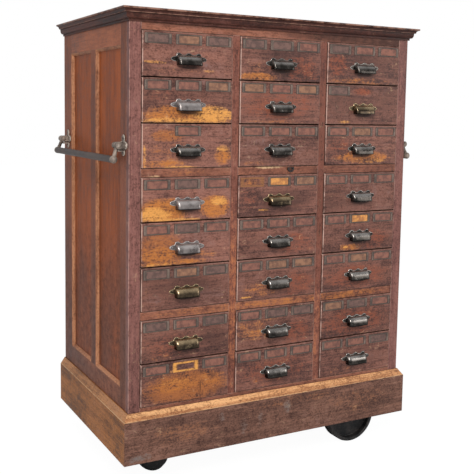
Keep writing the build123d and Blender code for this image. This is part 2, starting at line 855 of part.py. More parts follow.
side_frame, side_panels = side_assembly()
keep("left_side_frame", side_frame)
keep("left_side_panels", side_panels)
keep("right_side_frame", mirrored(side_frame))
keep("right_side_panels", mirrored(side_panels))
back_frame, back_panels = back_assembly()
keep("back_frame", back_frame)
keep("back_panels", back_panels)

keep("partitions", *partitions())
keep("drawer_runners", *runners())
keep("base_floor", board((-inner_half, face_back, floor_low),
                         (inner_half, inner_back, openings_low)))
make_drawers()

left_handle = lifting_handle()
left_brackets = [handle_bracket(y) for y, _ in pivots]
keep("left_handle", left_handle)
keep("right_handle", mirrored(left_handle))
keep("left_handle_brackets", *left_brackets)
keep("right_handle_brackets", *[mirrored(piece) for piece in left_brackets])

keep("chassis_beams", *beams())
keep("axle", axle())
keep("axle_brackets", axle_bracket(wheel_ys[0], 1), axle_bracket(wheel_ys[1], -1))
keep("wheel_front", big_wheel(wheel_ys[0], -1))
keep("wheel_back", big_wheel(wheel_ys[1], 1))
keep("caster_plates", *[turned(caster_plate(), y, 0) for y, _ in caster_spots])
for place, (y, turn) in zip(("front", "back"), caster_spots):
    keep(f"caster_fork_{place}", turned(caster_fork(), y, turn))
    keep(f"caster_wheel_{place}", turned(caster_wheel(), y, turn))
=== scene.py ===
"""The seed storage cabinet in its worn varnish, with its iron and its drawers.

X runs to the right, Y to the back and Z up, from the floor below the middle of the cabinet.
Shapes are worked out in millimetres and set down in metres. Finishes are in metres.
"""
import bmesh
import bpy
from itertools import product
from math import cos, pi, radians, sin, sqrt
from mathutils import Matrix, Vector


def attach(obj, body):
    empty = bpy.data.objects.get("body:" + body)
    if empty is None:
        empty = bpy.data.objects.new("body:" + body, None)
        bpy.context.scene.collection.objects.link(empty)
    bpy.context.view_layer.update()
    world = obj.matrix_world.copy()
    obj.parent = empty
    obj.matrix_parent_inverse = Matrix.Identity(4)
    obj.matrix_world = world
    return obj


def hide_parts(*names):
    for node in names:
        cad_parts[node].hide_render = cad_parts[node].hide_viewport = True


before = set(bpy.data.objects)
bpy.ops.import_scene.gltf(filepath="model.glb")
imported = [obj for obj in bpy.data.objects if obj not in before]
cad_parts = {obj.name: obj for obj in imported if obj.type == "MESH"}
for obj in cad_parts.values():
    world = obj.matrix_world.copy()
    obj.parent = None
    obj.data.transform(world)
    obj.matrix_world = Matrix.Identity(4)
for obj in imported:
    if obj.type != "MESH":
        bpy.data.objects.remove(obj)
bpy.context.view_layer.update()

# ---- sizes of the case

half_width, front_y, face_back, back_y = 500.0, -299.0, -277.0, 327.0
plinth_low = 95.0
openings_low, openings_high = 257.0, 1362.0
cornice_low, carcass_high, case_high = 1384.0, 1403.5, 1421.5
stile_width, mullion_width, opening_width = 36.5, 24.5, 878 / 3
side_thickness = 22.0
pitch, mid_rail = 132.0, 24.5
column_left = {column: -463.5 + (column - 1) * (opening_width + mullion_width)
               for column in (1, 2, 3)}
row_low = {row: openings_high - row * pitch - mid_rail * ((row > 3) + (row > 6))
           for row in range(1, 9)}
bays = ((-223.0, -15.0), (46.0, 238.0))
bay_low, bay_high, bay_rim = 316.5, 1313.0, 8.0


# ---- shapes


class Shape:
    """A piece in the making: shells of faces, each face with the number of its finish."""

    def __init__(self):
        self.mesh = bmesh.new()
        self.arris = self.mesh.faces.layers.float.new("arris")
        # rubbed is laid on corners: hand wear where high, and on the pull hoods a painted highlight
        # where high and a painted shade where negative.
        self.rubbed = self.mesh.verts.layers.float.new("rubbed")
        self.finish = 0

    def face(self, corners, arris=0.0):
        """One face between corners that are already in the mesh."""
        flat = self.mesh.faces.new(corners)
        flat.material_index = self.finish
        flat[self.arris] = arris

    def corners(self, points):
        """Corners of the mesh at these points."""
        return [self.mesh.verts.new(point) for point in points]

    def board(self, low, high, arris=1.0):
        """A board between two opposite corners, with its edges eased."""
        spots = {}
        for signs in product((-1, 1), repeat=3):
            for flat_axis in range(3):
                spots[signs, flat_axis] = self.mesh.verts.new(
                    [(high if sign > 0 else low)[axis] - (axis != flat_axis) * sign * arris
                     for axis, sign in enumerate(signs)])
            self.face([spots[signs, axis] for axis in range(3)], 1.0)
        for axis in range(3):
            def spot(flat_axis, *signs):
                # the signs are given for this axis and then for the next two
                return spots[signs[-axis:] + signs[:-axis], flat_axis]

            across, along = (axis + 1) % 3, (axis + 2) % 3
            for side in (-1, 1):
                self.face([spot(axis, side, a, b)
                           for a, b in ((-1, -1), (1, -1), (1, 1), (-1, 1))])
            for a, b in product((-1, 1), repeat=2):
                self.face([spot(across, -1, a, b), spot(across, 1, a, b),
                           spot(along, 1, a, b), spot(along, -1, a, b)], 1.0)

    def skin(self, rings, capped=True, arris=(), bands=(), rims=()):
        """A skin over rings of points, with caps at its ends, or else closed on itself.
        bands gives each gap between two rings its finish, and rims names the rubbed gaps."""
        rows = [self.corners(ring) for ring in rings]
        pairs = list(zip(rows, rows[1:])) + ([] if capped else [(rows[-1], rows[0])])
        for number, (lower, upper) in enumerate(pairs):
            if bands:
                self.finish = bands[number]
            for index in range(len(lower)):
                after = (index + 1) % len(lower)
                self.face([lower[index], lower[after], upper[after], upper[index]],
                          1.0 if index in arris or number in rims else 0.0)
        if capped:
            self.face(rows[0][::-1])
            self.face(rows[-1])

    def turned(self, profile, centre, axis, steps, capped=False):
        """A form turned on an axis, from (radius, distance along the axis) pairs."""
        axis = Vector(axis).normalized()
        side = axis.orthogonal().normalized()
        up = axis.cross(side)
        rings = []
        for step in range(steps):
            turn = 2 * pi * step / steps
            out = side * cos(turn) + up * sin(turn)
            rings.append([Vector(centre) + out * radius + axis * along
                          for radius, along in profile])
        self.skin([list(ring) for ring in zip(*rings)], capped)

    def slab(self, outline, place, depth, arris):
        """A flat form cut to an outline, its front edge eased; place turns (x, y, out) to 3-D."""
        count = len(outline)
        inset = []
        for index, (x, y) in enumerate(outline):
            before, after = outline[index - 1], outline[(index + 1) % count]
            across = Vector((after[0] - before[0], after[1] - before[1])).normalized()
            inset.append((x - across.y * arris, y + across.x * arris))
        self.skin([[place(x, y, 0.0) for x, y in outline],
                   [place(x, y, depth - arris) for x, y in outline],
                   [place(x, y, depth) for x, y in inset]], rims=(1,))

    def set_down(self, name, body, finishes, nodes, slot, smooth=40):
        """Makes the mesh a named piece that rides on its body and stands for its nodes."""
        bmesh.ops.recalc_face_normals(self.mesh, faces=self.mesh.faces)
        self.mesh.transform(Matrix.Scale(0.001, 4))
        mesh = bpy.data.meshes.new(name)
        self.mesh.to_mesh(mesh)
        self.mesh.free()
        for finish in finishes:
            mesh.materials.append(finish.material)
        mesh.polygons.foreach_set("use_smooth", [True] * len(mesh.polygons))
        mesh.set_sharp_from_angle(angle=radians(smooth))
        piece = bpy.data.objects.new(name, mesh)
        bpy.context.scene.collection.objects.link(piece)
        shading = piece.modifiers.new("even shading", "WEIGHTED_NORMAL")
        shading.keep_sharp = True
        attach(piece, body)
        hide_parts(*nodes)
        return piece


def dome(radius, height, steps):
    """Profile of a rounded head, from its foot up to its crown."""
    turns = [pi / 2 * step / steps for step in range(steps)]
    return [(radius, 0.0), *((radius * cos(turn), height * sin(turn)) for turn in turns),
            (0.01, height)]


# ---- finishes


class Value:
    """A number, colour or direction that varies over a surface; sums on it add their nodes."""

    def __init__(self, finish, socket):
        self.finish, self.socket = finish, socket

    def _sum(self, operation, *terms):
        return self.finish.node("ShaderNodeMath", {"operation": operation},
                                dict(enumerate(terms)))

    def __add__(self, other):
        return self._sum("ADD", self, other)

    def __radd__(self, other):
        return self._sum("ADD", other, self)

    def __sub__(self, other):
        return self._sum("SUBTRACT", self, other)

    def __rsub__(self, other):
        return self._sum("SUBTRACT", other, self)

    def __mul__(self, other):
        return self._sum("MULTIPLY", self, other)

    def __rmul__(self, other):
        return self._sum("MULTIPLY", other, self)

    def __abs__(self):
        return self._sum("ABSOLUTE", self)

    def highest(self, other):
        """The larger of two values."""
        return self._sum("MAXIMUM", self, other)

    def between(self, low, high, to_low=0.0, to_high=1.0):
        """Eases from one number to another as this value goes from low to high."""
        return self.finish.node("ShaderNodeMapRange", {"interpolation_type": "SMOOTHSTEP"},
                                {0: self, 1: low, 2: high, 3: to_low, 4: to_high})


class Finish:
    """One finish and its nodes, over the places of the piece at rest."""

    def __init__(self, name, store=bpy.data.materials):
        self.material = store.new(name)
        self.material.use_nodes = True
        self.tree = self.material.node_tree
        self.tree.nodes.clear()
        self.place = self.node("ShaderNodeTexCoord", {}, {}, "Object")
        parts = self.node("ShaderNodeSeparateXYZ", {}, {0: self.place}).socket.node.outputs
        self.x, self.y, self.z = (Value(self, part) for part in parts)

    def node(self, kind, settings, inputs, output=0):
        """Adds a node, its settings first, then its sockets' values or links: one output."""
        node = self.tree.nodes.new(kind)
        for name, setting in settings.items():
            setattr(node, name, setting)
        for name, value in inputs.items():
            if isinstance(value, Value):
                self.tree.links.new(value.socket, node.inputs[name])
            elif isinstance(value, tuple) and node.inputs[name].type == "RGBA":
                node.inputs[name].default_value = (*value, 1.0)
            else:
                node.inputs[name].default_value = value
        return Value(self, node.outputs[output]) if node.outputs else None

    def noise(self, scale, detail, roughness, shift, bend=0.0):
        """Soft noise, from 0 to 1, with so many waves per metre along each axis."""
        stretch = scale if isinstance(scale, tuple) else (scale,) * 3
        place = self.node("ShaderNodeVectorMath", {"operation": "MULTIPLY_ADD"},
                          {0: self.place, 1: stretch, 2: shift})
        return self.node("ShaderNodeTexNoise", {},
                         {"Vector": place, "Scale": 1.0, "Detail": detail,
                          "Roughness": roughness, "Distortion": bend})

    def mix(self, share, first, second):
        """A colour between two others."""
        return self.node("ShaderNodeMix", {"data_type": "RGBA"},
                         {0: share, 6: first, 7: second}, 2)

    def attribute(self, name):
        """A number that was laid on the faces or corners of the mesh."""
        return self.node("ShaderNodeAttribute", {"attribute_name": name}, {}, "Fac")

    def bump(self, height, depth):
        """The surface's direction over a relief that is so many metres deep."""
        return self.node("ShaderNodeBump", {}, {"Strength": 1.0, "Distance": depth,
                                                "Height": height})

    def surface(self, **sockets):
        """The final surface; constants are set on its own sockets."""
        named = {name.replace("_", " "): value for name, value in sockets.items()}
        shader = self.node("ShaderNodeBsdfPrincipled", {}, named)
        self.node("ShaderNodeOutputMaterial", {}, {0: shader})
        return self


deep_brown = (0.036, 0.013, 0.009)
film = (0.185, 0.112, 0.104)
red = (0.24, 0.062, 0.03)
amber = (0.34, 0.115, 0.036)
orange = (0.46, 0.16, 0.035)
gold = (0.66, 0.3, 0.075)
bare_wood = (0.56, 0.36, 0.2)
# Near-black brown: soot and dirt, and also the painted shadow under the pulls.
soot_and_shadow = (0.02, 0.011, 0.009)
# Pale pink for rubbed edges; on the drawer fronts' left edges it is also a painted highlight.
pale_rub_and_highlight = (0.52, 0.34, 0.28)


def along(grain, length, width):
    """Waves per metre with the grain along x, y or z."""
    return tuple(length if axis == grain else width for axis in "xyz")


def place_mask(finish, spot):
    """A patch that fades out from (x, z) in millimetres, so wide and so high."""
    x, z, wide, high, strength = spot
    across = (finish.x - x / 1000) * (1000 / wide)
    up = (finish.z - z / 1000) * (1000 / high)
    return (across * across + up * up).between(0.05, 1.7, strength, 0.0)


def ghost_mask(finish, x, z):
    """The outline that a lost label frame left on the wood, with its middle at (x, z)."""
    across, up = abs(finish.x - x / 1000), abs(finish.z - z / 1000)
    outer = (across * (1000 / 42)).highest(up * (1000 / 15)).between(0.92, 1.06, 1.0, 0.0)
    inner = (across * (1000 / 32)).highest(up * (1000 / 10)).between(0.8, 1.05)
    return outer * inner


def varnish(name, grain, light, dark, seed, wear, dirt=0.4, patches=(), gloss=0.42, edge_rub_and_highlight=orange,
            speck=0.5, pitted=0.5, ghost=None):
    """Old shellac over open-grained wood: figure, pores, bloom, grime, rubbed edges and placed patches;
    some patches are painted shadow, and on the drawer fronts' left edges the rubbed colour is also a
    painted highlight.
    """
    finish = Finish(name)
    shift = (seed * 7.3, seed * 3.1, seed * 5.7)
    clouds = finish.noise(along(grain, 3.0, 6.0), 4.0, 0.62, shift)
    figure = finish.noise(along(grain, 2.0, 30.0), 4.0, 0.65, shift, 0.8)
    streaks = finish.noise(along(grain, 9.0, 150.0), 3.0, 0.65, shift)
    mottle = finish.noise(42.0, 5.0, 0.7, shift)
    grit = finish.noise(along(grain, 160.0, 230.0), 3.0, 0.75, shift)
    pores = finish.noise(along(grain, 50.0, 760.0), 2.0, 0.6, shift)
    tone = (clouds * 0.4 + figure * 0.22 + streaks * 0.2 + mottle * 0.18).between(0.41, 0.58)
    tone = tone * 0.66 + (grit * 0.75 + streaks * 0.25).between(0.4, 0.6) * 0.34
    colour = finish.mix(tone, dark, light)
    bloom = (clouds * 0.35 + mottle * 0.4 + grit * 0.25).between(0.5, 0.62, 0.0, dirt * 0.6)
    colour = finish.mix(bloom, colour, film)
    ragged = (mottle * 0.4 + grit * 0.35 + streaks * 0.25 - 0.5) * 3.6
    # Patches: stains and wear, and some painted shadows (under the cornice and under the pulls).
    for tint, spots in patches:
        patch = None
        for spot in spots:
            mask = place_mask(finish, spot)
            patch = mask if patch is None else patch.highest(mask)
        cover = (patch * 1.05 + ragged).between(0.4, 1.15, 0.0, 0.92)
        colour = finish.mix(cover * patch.between(0.0, 0.25), colour, tint)
    if ghost:
        x, z, tint = ghost
        colour = finish.mix(ghost_mask(finish, x, z) * (ragged + 0.75).between(0.2, 0.8),
                            colour, tint)
    specks = (grit * 0.6 + mottle * 0.4).between(0.49, 0.37, 0.0, speck)
    colour = finish.mix(specks, colour, deep_brown)
    grime = (mottle * 0.4 + clouds * 0.6).between(0.42, 0.32, 0.0, dirt)
    colour = finish.mix(grime, colour, soot_and_shadow)
    pits = pores.between(0.45, 0.33, 0.0, pitted)
    colour = finish.mix(pits, colour, deep_brown)
    line = abs(finish.noise(along(grain, 9.0, 22.0), 3.0, 0.55, (shift[1], shift[2], seed)) - 0.5)
    scratch = line.between(0.0, 0.014, 0.8, 0.0) * mottle.between(0.54, 0.64)
    chips = finish.noise(along(grain, 60.0, 150.0), 3.0, 0.6, shift).between(0.7, 0.74)
    colour = finish.mix(scratch.highest(chips) * (wear * 0.6), colour, bare_wood)
    # Pale colour on the eased edges: wear, and on the drawer fronts' left edges also a painted
    # highlight.
    edge = finish.attribute("arris") * (mottle * 0.6 + clouds * 0.4).between(0.38, 0.54) * wear
    colour = finish.mix(edge, colour, edge_rub_and_highlight)
    rough = (clouds * 0.3 + mottle * 0.4 + grit * 0.3).between(0.3, 0.7, gloss - 0.08,
                                                              gloss + 0.16)
    height = streaks * 0.3 + figure * 0.2 + pores * 0.3 + mottle * 0.2 + grit * 0.25
    return finish.surface(Base_Color=colour, Roughness=rough, Normal=finish.bump(height, 0.0011),
                          Specular_IOR_Level=0.16)


def timber(name, grain, light=(0.36, 0.2, 0.1), dark=(0.2, 0.1, 0.05), seed=0.0):
    """Bare softwood that has darkened with age."""
    finish = Finish(name)
    shift = (seed, seed * 2.0, seed * 3.0)
    clouds = finish.noise(along(grain, 3.0, 7.0), 3.0, 0.55, shift)
    rings = finish.noise(along(grain, 2.0, 55.0), 3.0, 0.6, shift, 0.4)
    fibres = finish.noise(along(grain, 14.0, 420.0), 3.0, 0.6, shift)
    tone = (clouds * 0.4 + rings * 0.4 + fibres * 0.2).between(0.36, 0.64)
    colour = finish.mix(tone, dark, light)
    smudge = finish.noise(9.0, 4.0, 0.6, shift).between(0.52, 0.7, 0.0, 0.5)
    colour = finish.mix(smudge, colour, (0.1, 0.065, 0.045))
    return finish.surface(Base_Color=colour, Roughness=fibres.between(0.3, 0.7, 0.62, 0.82),
                          Normal=finish.bump(rings * 0.4 + fibres * 0.6, 0.0005))


def metal(name, dark, light, worn, rough, metallic, seed=0.0, pitting=0.0006,
          edge=0.7):
    """Old metal: patina in clouds, brightened where hands rubbed it (on the pull hoods partly a painted
    highlight), near black where rubbed is negative (a painted shade under the hoods), and fine pitting.
    """
    finish = Finish(name)
    shift = (seed, seed * 1.7, seed * 2.3)
    clouds = finish.noise(32.0, 4.0, 0.6, shift)
    pits = finish.noise(330.0, 3.0, 0.6, shift)
    colour = finish.mix(clouds.between(0.36, 0.64), dark, light)
    rub_and_shade = finish.attribute("rubbed")
    # Hand wear where rubbed is high; on the pull hoods' upper part this is partly a painted highlight.
    hand = rub_and_shade.between(0.2, 1.0) * (clouds * 0.7 + pits * 0.3).between(0.36, 0.56, 0.45)
    rims = finish.attribute("arris") * edge
    spots = finish.noise(75.0, 3.0, 0.55, shift).between(0.58, 0.74, 0.0, edge * 0.5)
    colour = finish.mix(spots.highest(hand).highest(rims), colour, worn)
    # Painted shade: where rubbed is negative, under the pull hoods, the colour goes near black.
    colour = finish.mix(rub_and_shade.between(-0.28, -0.58), colour, (0.004, 0.0035, 0.003))
    return finish.surface(Base_Color=colour, Metallic=metallic,
                          Roughness=(clouds * 0.7 + pits * 0.3).between(0.35, 0.65, rough,
                                                                      rough + 0.18),
                          Normal=finish.bump(pits * 0.6 + clouds * 0.4, pitting))


def paper(name, light, dark, seed=0.0):
    """Card in the label frames, browned, stained and rubbed."""
    finish = Finish(name)
    shift = (seed, seed, seed)
    blots = finish.noise(70.0, 4.0, 0.65, shift)
    fibres = finish.noise((500.0, 500.0, 1400.0), 2.0, 0.6, shift)
    colour = finish.mix(blots.between(0.36, 0.62), dark, light)
    colour = finish.mix(fibres.between(0.55, 0.75, 0.0, 0.35), colour, (0.05, 0.025, 0.018))
    return finish.surface(Base_Color=colour, Roughness=fibres.between(0.3, 0.7, 0.6, 0.85),
                          Normal=finish.bump(blots * 0.5 + fibres * 0.5, 0.0004))


# ---- the case


def face_frame():
    """Uprights, mullions and rails, whose joints show as fine lines."""
    upright = varnish("varnish on the stiles", "z", (0.26, 0.108, 0.088), (0.11, 0.045, 0.039),
                      seed=1.0, wear=0.6, edge_rub_and_highlight=pale_rub_and_highlight, pitted=0.3)
    mullion = varnish("varnish on the mullions", "z", (0.26, 0.09, 0.058),
                      (0.08, 0.028, 0.022), seed=2.0, wear=0.45, dirt=0.35, edge_rub_and_highlight=pale_rub_and_highlight,
                      patches=[((0.42, 0.145, 0.055), ((-158, 560, 40, 330, 0.6),
                                                       (158, 420, 40, 200, 0.5))),
                               (deep_brown, ((158, 1000, 60, 440, 0.6),))])
    rail = varnish("varnish on the rails", "x", (0.32, 0.12, 0.07), (0.11, 0.04, 0.027),
                   seed=3.0, wear=0.45, edge_rub_and_highlight=pale_rub_and_highlight, patches=[
                       # Painted shadow: the deep brown patches along the top rail, just under the
                       # cornice, stand for the cornice's shadow.
                       (deep_brown, ((320, 1385, 380, 30, 1.0), (-250, 1387, 300, 10, 0.9),
                                     (410, 1376, 200, 30, 1.0))),
                       (orange, ((-120, 532, 380, 16, 0.6), (250, 533, 200, 14, 0.7),
                                 (-320, 954, 90, 16, 0.4))),
                       (bare_wood, ((-40, 964, 60, 5, 0.9), (60, 1362, 200, 5, 0.3),
                                    (-420, 943, 24, 5, 0.8)))])
    stiles = Shape()
    for left in (-half_width, half_width - stile_width):
        stiles.board((left, front_y, plinth_low), (left + stile_width, face_back, carcass_high),
                     arris=1.4)
    stiles.set_down("face_stiles_worn", "case", [upright], ["face_stiles"], "varnished_case")
    posts = Shape()
    for column in (2, 3):
        left = column_left[column] - mullion_width
        posts.board((left, front_y, openings_low),
                    (left + mullion_width, face_back, openings_high), arris=0.7)
    posts.set_down("mullions_worn", "case", [mullion], ["mullions"], "varnished_case")
    rails = Shape()
    inner = half_width - stile_width
    for low, high in ((openings_high, carcass_high), (plinth_low, openings_low)):
        rails.board((-inner, front_y, low), (inner, face_back, high), arris=0.8)
    for row in (3, 6):
        for left in column_left.values():
            rails.board((left, front_y, row_low[row] - mid_rail),
                        (left + opening_width, face_back, row_low[row]), arris=0.7)
    rails.set_down("rails_worn", "case", [rail], ["top_rail", "mid_rails", "bottom_rail"],
                   "varnished_case")


def quarter(width, height, steps=8):
    """Steps across and down a quarter of a round."""
    turns = [pi / 2 * step / steps for step in range(steps + 1)]
    return [(width * sin(turn), height * (1 - cos(turn))) for turn in turns]


def cornice_section():
    """Section of the cornice, from its foot on the case out to its lip and back over the top."""
    cove = [(26.0 - across, 32.0 - down) for across, down in quarter(7.5, 9.0)]
    ovolo = [(7.0 + across, 6.5 + down) for across, down in quarter(7.0, 15.0)]
    return [(0.0, 0.0), (4.0, 0.0), (4.0, 6.5), *ovolo, (14.0, 23.0), *reversed(cove),
            (28.0, 33.0), (28.0, 36.6), (27.1, 37.5), (0.0, 37.5)]


def plinth_section():
    """Section of the plinth: face, rubbed arris and the bevel up to the case."""
    return [(0.0, 0.0), (17.2, 0.0), (18.0, 0.8), (18.0, 130.5), (17.55, 131.3), (16.5, 132.0),
            (3.0, 151.5), (0.0, 151.5)]


def mitred(shape, section, low, run, arris=()):
    """One run of a moulding round the case, to its mitres: front, left or right."""
    ends = {"front": ((-1, True), (1, True)), "left": ((-1, False), (-1, True)),
            "right": ((1, True), (1, False))}[run]
    shape.skin([[(side * (half_width + out), front_y - out if mitre else back_y, low + up)
                 for out, up in section] for side, mitre in ends], arris=arris)


cornice_rubbed, plinth_rubbed = (13, 21, 22, 23, 24), (3, 4)
# for the front and the sides: the face, light and dark, then the bevel, light and dark; the bevel's
# pale gold is partly rubbed wear, partly painted light on its upward slope
plinth_tones = {"front": ((0.235, 0.112, 0.076), (0.07, 0.032, 0.024),
                          (0.74, 0.36, 0.155), (0.3, 0.12, 0.05)),
                "sides": ((0.45, 0.17, 0.048), (0.085, 0.03, 0.011),
                          (0.54, 0.25, 0.105), (0.21, 0.085, 0.036))}
plinth_marks = [((0.3, 0.115, 0.045), ((-330, 165, 130, 40, 0.55), (60, 205, 200, 20, 0.5),
                                        (330, 165, 150, 50, 0.5))),
                ((0.165, 0.14, 0.13), ((-120, 150, 16, 34, 0.6), (-60, 160, 12, 40, 0.5),
                                         (40, 190, 20, 30, 0.6), (-470, 112, 50, 14, 0.7),
                                         (-200, 190, 14, 20, 0.6)))]
# Pale gold on the front bevel: partly wear, partly painted light.
bevel_wear_and_light = [((0.78, 0.42, 0.19), ((-300, 240, 340, 8, 0.9), (250, 240, 260, 8, 0.6)))]


def mouldings():
    """The cornice and the plinth, each in three mitred runs."""
    for place, runs, grain, seed in (("front", ("front",), "x", 4.0),
                                     ("sides", ("left", "right"), "y", 5.0)):
        cornice = Shape()
        for run in runs:
            mitred(cornice, cornice_section(), cornice_low, run, cornice_rubbed)
        finish = varnish("varnish on the cornice " + place, grain, (0.11, 0.034, 0.022),
                         (0.018, 0.006, 0.005), seed=seed, wear=0.4, dirt=0.25,
                         edge_rub_and_highlight=(0.5, 0.28, 0.2))
        cornice.set_down("cornice_" + place, "case", [finish], ["cornice"],
                         "varnished_moulding", 30)
    for run, grain, seed in (("front", "x", 6.0), ("left", "y", 7.0), ("right", "y", 8.0)):
        seen = run == "front"
        light, dark, bevel_light, bevel_dark = plinth_tones["front" if seen else "sides"]
        face = varnish("scuffed varnish, plinth " + run, grain, light, dark, seed=seed, wear=0.6,
                       dirt=0.5, patches=plinth_marks if seen else (), gloss=0.5,
                       edge_rub_and_highlight=(0.66, 0.47, 0.31), speck=0.6)
        # The bevel's paler finish is partly rubbed wear, partly painted light where it slopes up
        # towards the lamp.
        bevel = varnish("rubbed bevel, plinth " + run, grain, bevel_light, bevel_dark,
                        seed=seed + 0.5, wear=0.8, dirt=0.45,
                        patches=bevel_wear_and_light if seen else (), edge_rub_and_highlight=bare_wood)
        board = Shape()
        mitred(board, plinth_section(), plinth_low, run, plinth_rubbed)
        piece = board.set_down("plinth_" + run + "_worn", "case", [face, bevel],
                               ["plinth_" + run], "varnished_plinth", 25)
        for flat in piece.data.polygons:
            slopes = 0.25 < abs(flat.normal.z) < 0.95
            if slopes and flat.center.z > 0.22:
                flat.material_index = 1


def bay_moulding(shape, side, bay):
    """The sloping moulding round one bay of a side, mitred at its corners."""
    section = ((8.0, 0.0), (7.4, 0.3), (6.6, 1.6), (4.4, 2.6), (2.2, 5.0), (0.9, 7.6),
               (0.0, 8.2), (0.0, 10.0), (8.0, 10.0))
    rings = []
    for y_side, z_side in ((0, 0), (1, 0), (1, 1), (0, 1)):
        ring = []
        for out, deep in section:
            y = bay[y_side] + (out if y_side else -out)
            z = (bay_high + out) if z_side else (bay_low - out)
            ring.append((side * (half_width - deep), y, z))
        rings.append(ring)
    shape.skin(rings, capped=False)


def sides():
    """Both sides: stiles and rails with two moulded bays, and their panels."""
    # Darker towards the bottom of the sides, over their lower part.
    darker_low_down = [((0.06, 0.018, 0.01), ((0, 330, 4000, 480, 0.75),))]
    upright = varnish("varnish on the side stiles", "z", (0.26, 0.076, 0.032),
                      (0.095, 0.027, 0.014), seed=9.0, wear=0.3, dirt=0.3, patches=darker_low_down,
                      edge_rub_and_highlight=pale_rub_and_highlight, speck=0.3, pitted=0.25)
    rail = varnish("varnish on the side rails", "y", (0.4, 0.125, 0.055),
                   (0.15, 0.045, 0.022), seed=10.0, wear=0.3, dirt=0.3, patches=darker_low_down,
                   edge_rub_and_highlight=pale_rub_and_highlight, speck=0.3, pitted=0.25)
    # The bay mouldings are painted paler all round: partly rubbed wear, partly a painted highlight
    # where their slopes catch the light.
    moulding = varnish("rubbed side mouldings", "z", (0.54, 0.24, 0.12),
                       (0.19, 0.068, 0.036), seed=11.0, wear=0.6, dirt=0.2, speck=0.3)
    panel = varnish("varnish on the side panels", "z", (0.35, 0.08, 0.015),
                    (0.14, 0.03, 0.007), seed=12.0, wear=0.12, dirt=0.1, patches=darker_low_down,
                    speck=0.15, pitted=0.2)
    low, high = bay_low - bay_rim, bay_high + bay_rim
    stiles = ((face_back, bays[0][0] - bay_rim, plinth_low, carcass_high),
              (bays[0][1] + bay_rim, bays[1][0] - bay_rim, low, high),
              (bays[1][1] + bay_rim, back_y, plinth_low, carcass_high))
    for name, side in (("left", -1), ("right", 1)):
        shape = Shape()
        inner, outer = sorted((side * half_width, side * (half_width - side_thickness)))
        for front, back, foot, head in stiles:
            shape.board((inner, front, foot), (outer, back, head), arris=0.6)
        shape.finish = 1
        for foot, head in ((plinth_low, low), (high, carcass_high)):
            shape.board((inner, stiles[0][1], foot), (outer, stiles[2][0], head), arris=0.6)
        shape.finish = 2
        for bay in bays:
            bay_moulding(shape, side, bay)
        shape.set_down(name + "_side_worn", "case", [upright, rail, moulding],
                       [name + "_side_frame"], "varnished_case", 25)
        dress(name + "_side_panels", panel)


def top():
    """The top board, glued up from four planks."""
    planks = Shape()
    edges = [front_y, -148.0, 2.0, 168.0, back_y]
    for front, back in zip(edges, edges[1:]):
        planks.board((-half_width, front, carcass_high), (half_width, back, case_high),
                     arris=0.7)
    finish = varnish("varnish on the top", "x", (0.2, 0.08, 0.05), (0.075, 0.03, 0.02),
                     seed=13.0, wear=0.8, dirt=0.6)
    planks.set_down("top_planks", "case", [finish], ["top_board"], "varnished_case")


def dress(node, finish):
    """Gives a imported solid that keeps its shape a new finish."""
    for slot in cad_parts[node].material_slots:
        slot.material = finish.material


# ---- drawers

face_y, fronts_back = front_y - 4.0, front_y + 15.0
label_pitch, label_rise = 97.0, 110.0
pull_rise, ear_rise = 65.0, 54.5


def drawer_box(name, x, z, finish):
    """Sides, back and bottom of a drawer, behind its front."""
    gap, wall, depth, arris = 2.0, 11.0, 540.0, 0.6
    side_low, side_high, bottom_low, bottom_high, back_high = 16.3, 112.0, 22.0, 28.0, 105.0
    left, right, back = x + gap, x + opening_width - gap, fronts_back + depth
    shape = Shape()
    for outer, inner in ((left, left + wall), (right - wall, right)):
        shape.board((outer, fronts_back, z + side_low), (inner, back, z + side_high), arris)
    shape.board((left + wall, back - wall, z + bottom_high),
                (right - wall, back, z + back_high), arris)
    shape.board((left + wall, fronts_back, z + bottom_low),
                (right - wall, back, z + bottom_high), arris / 2)
    shape.set_down(name + "_box", name, [finish], [name], "raw_timber")


def label_holder(shape, centre_x, centre_z, y):
    """A stamped frame: a thin flange with a raised lip round its window, and two nails; its outer edge
    and the sides of its lip take a painted shadow.
    """
    def ring(half_x, half_z, out, corner):
        points = []
        for sx, sz, start in ((1, 1, 0), (-1, 1, 90), (-1, -1, 180), (1, -1, 270)):
            for step in range(3):
                turn = radians(start + 45 * step)
                points.append((centre_x + sx * (half_x - corner) + corner * cos(turn), y - out,
                               centre_z + sz * (half_z - corner) + corner * sin(turn)))
        return points

    # Bands with finish 1 are painted shadow: the outer edge and its bevel, the outer side of the lip,
    # its inner sides down to the card, and the back face.
    shape.skin([ring(42, 15, 0.0, 2.5), ring(42, 15, 0.7, 2.5), ring(40.9, 14.3, 1.0, 2.2),
                ring(35.2, 13.4, 1.0, 1.6), ring(34.3, 12.9, 1.9, 1.4),
                ring(33.7, 12.5, 2.2, 1.2), ring(32.9, 11.9, 2.2, 0.9),
                ring(32.0, 11.0, 1.6, 0.6), ring(32.0, 11.0, 0.0, 0.6)],
               capped=False, bands=(1, 1, 0, 1, 0, 0, 1, 1, 1))
    shape.finish = 0
    for side in (-1, 1):
        shape.turned(dome(1.7, 0.9, 3), (centre_x + side * 38.4, y - 0.9, centre_z),
                     (0, -1, 0), 10)


def pull_outline():
    """Half-outlines joined: two pointed ears and a crest of three lobes."""
    right = [(0.0, -8.0), (38.5, -8.0), (46.0, -7.2), (52.5, -5.2), (56.2, -2.6), (57.0, 0.0),
             (56.2, 2.6), (52.5, 5.2), (46.0, 7.2), (40.0, 8.6)]
    crest = [(39.5, 11.0), (38.2, 14.4), (35.5, 16.6), (32.0, 17.4), (28.4, 17.0),
             (25.0, 15.2), (22.6, 12.9), (19.0, 12.0), (13.0, 12.2), (9.0, 13.6),
             (5.0, 16.6), (0.0, 17.5)]
    half = right + crest
    return half[1:] + [(-x, z) for x, z in reversed(half[1:-1])]


